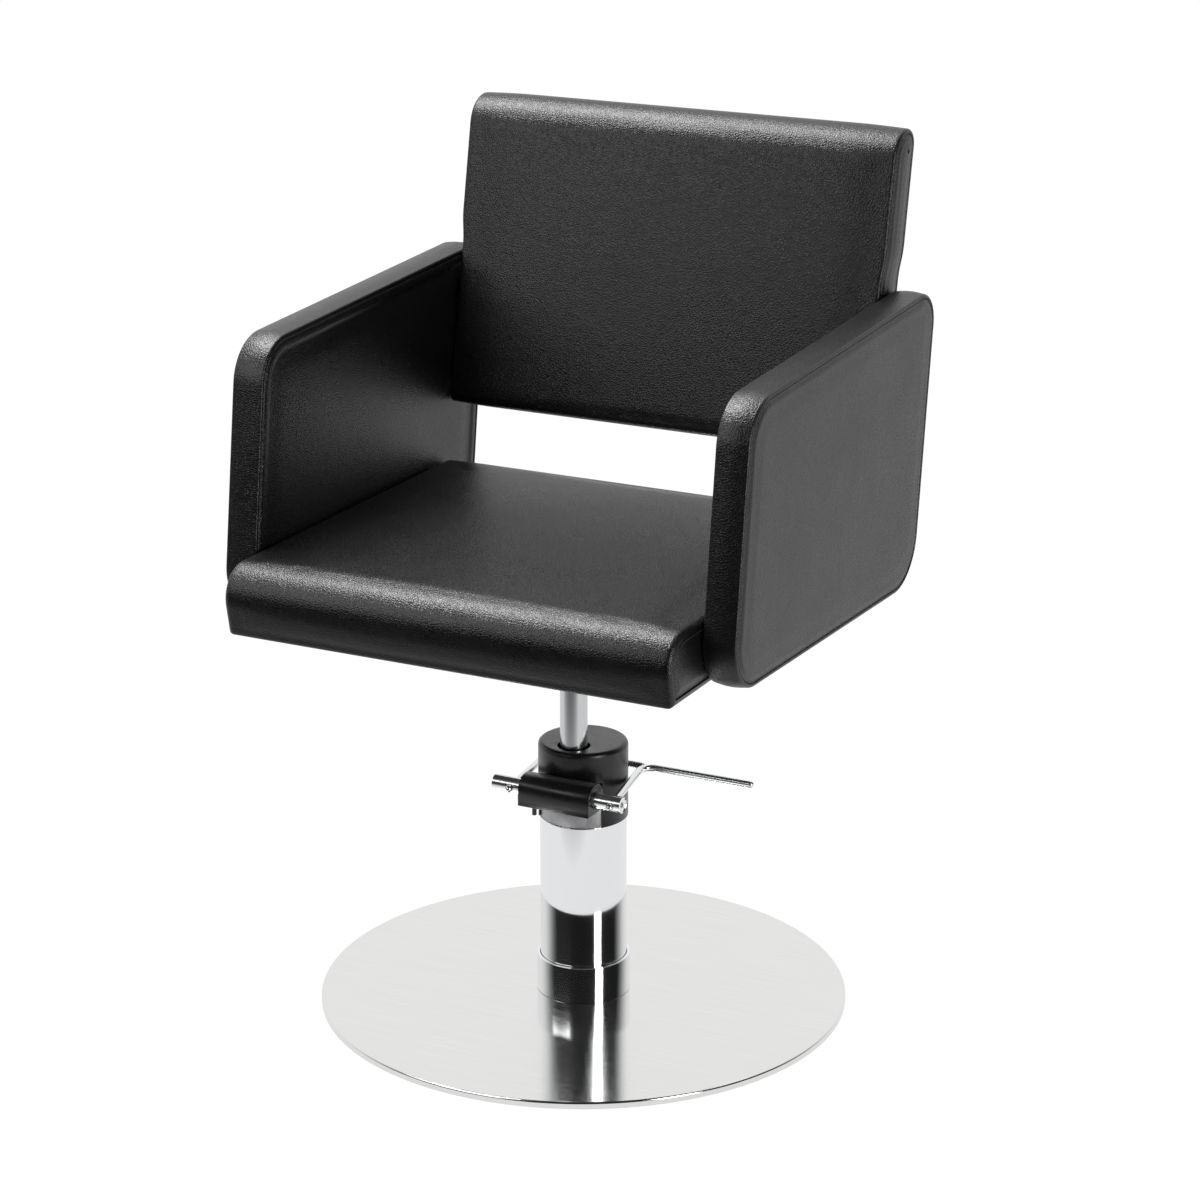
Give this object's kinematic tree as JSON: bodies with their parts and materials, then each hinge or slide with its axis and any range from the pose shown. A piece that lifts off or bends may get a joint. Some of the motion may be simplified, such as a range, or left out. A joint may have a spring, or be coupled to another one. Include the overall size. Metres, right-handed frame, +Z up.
{
  "type": "salon styling chair",
  "caption": "Hydraulic salon styling chair with a flat upholstered seat, closed panel arms, low leaning back and round steel base with a side foot lever.",
  "frame": {"origin": "on the floor under the centre of the round base", "axes": "+Z up; -Y to the front of the chair, where the sitter faces; +X to the sitter's left"},
  "size_m": [0.587, 0.6015, 0.9478],
  "materials": {
    "leatherette": "semi-gloss black leatherette, fine pebble grain",
    "foam": "moulded upholstery foam",
    "plywood": "plain birch plywood",
    "liner": "matte black non-woven lining",
    "stainless": "satin brushed stainless steel",
    "column_chrome": "polished",
    "chrome": "polished",
    "steel": "satin",
    "ironwork": "satin black",
    "aluminium": "satin grey casting",
    "bronze": "satin",
    "black_plastic": "satin black",
    "rubber": "matte"
  },
  "bodies": {
    "base": {"floor_pad": "rubber", "base_plate": "ironwork", "base_cover": "stainless", "foot_ring": "column_chrome", "column_tube": "column_chrome", "pump_foot": "ironwork", "foot_bolt_1": "steel", "foot_bolt_2": "steel", "foot_bolt_3": "steel", "main_cylinder": "steel", "valve_block": "steel", "pump_barrel": "steel", "pump_head": "aluminium", "rod_gland": "bronze", "pump_cap": "black_plastic", "shaft_housing": "black_plastic", "stop_screw": "ironwork", "plunger_spring": "steel"},
    "lever": {"cross_shaft": "chrome", "rocker": "steel", "foot_lever": "chrome", "lever_screw_left": "steel", "lever_screw_right": "steel"},
    "plunger": {"plunger": "steel"},
    "piston": {"piston_head": "steel", "piston_seal": "rubber"},
    "seat": {"seat_hub": "ironwork", "seat_plate": "ironwork", "ram": "chrome", "hub_screw": "steel", "plate_bolt_1": "steel", "plate_bolt_2": "steel", "plate_bolt_3": "steel", "plate_bolt_4": "steel", "arm_bolt_left_front": "steel", "arm_bolt_left_rear": "steel", "arm_bolt_right_front": "steel", "arm_bolt_right_rear": "steel", "back_stud_left_lower": "steel", "back_stud_left_upper": "steel", "back_stud_right_lower": "steel", "back_stud_right_upper": "steel", "seat_rail_left": "plywood", "seat_rail_right": "plywood", "seat_cross_board": "plywood", "seat_board": "plywood", "back_board": "plywood", "arm_core_left": "plywood", "arm_core_right": "plywood", "dust_cover": "liner", "seat_foam": "foam", "back_foam": "foam", "arm_foam_left": "foam", "arm_foam_right": "foam", "seat_cover": "leatherette", "back_cover": "leatherette", "arm_cover_left": "leatherette", "arm_cover_right": "leatherette"}
  },
  "joints": [
    {"name": "seat_lift", "type": "slide", "parent": "base", "child": "piston", "axis": [0, 0, 1], "range_m": [-0.09, 0.06]},
    {"name": "seat_swivel", "type": "hinge", "parent": "piston", "child": "seat", "pos_m": [0, -0.022, 0.4], "axis": [0, 0, 1], "continuous": true},
    {"name": "foot_lever_press", "type": "hinge", "parent": "base", "child": "lever", "pos_m": [0, -0.058, 0.257], "axis": [1, 0, 0], "range_deg": [-12, 0], "stiffness_Nm_per_rad": 6, "springref_deg": 17.19},
    {"name": "plunger_stroke", "type": "slide", "parent": "base", "child": "plunger", "axis": [0, 0, 1], "range_m": [-0.017, 0], "deforming": ["plunger_spring"]}
  ],
  "couplings": [
    {"joint": "plunger_stroke", "follows": "foot_lever_press", "m_per_rad": 0.08}
  ]
}
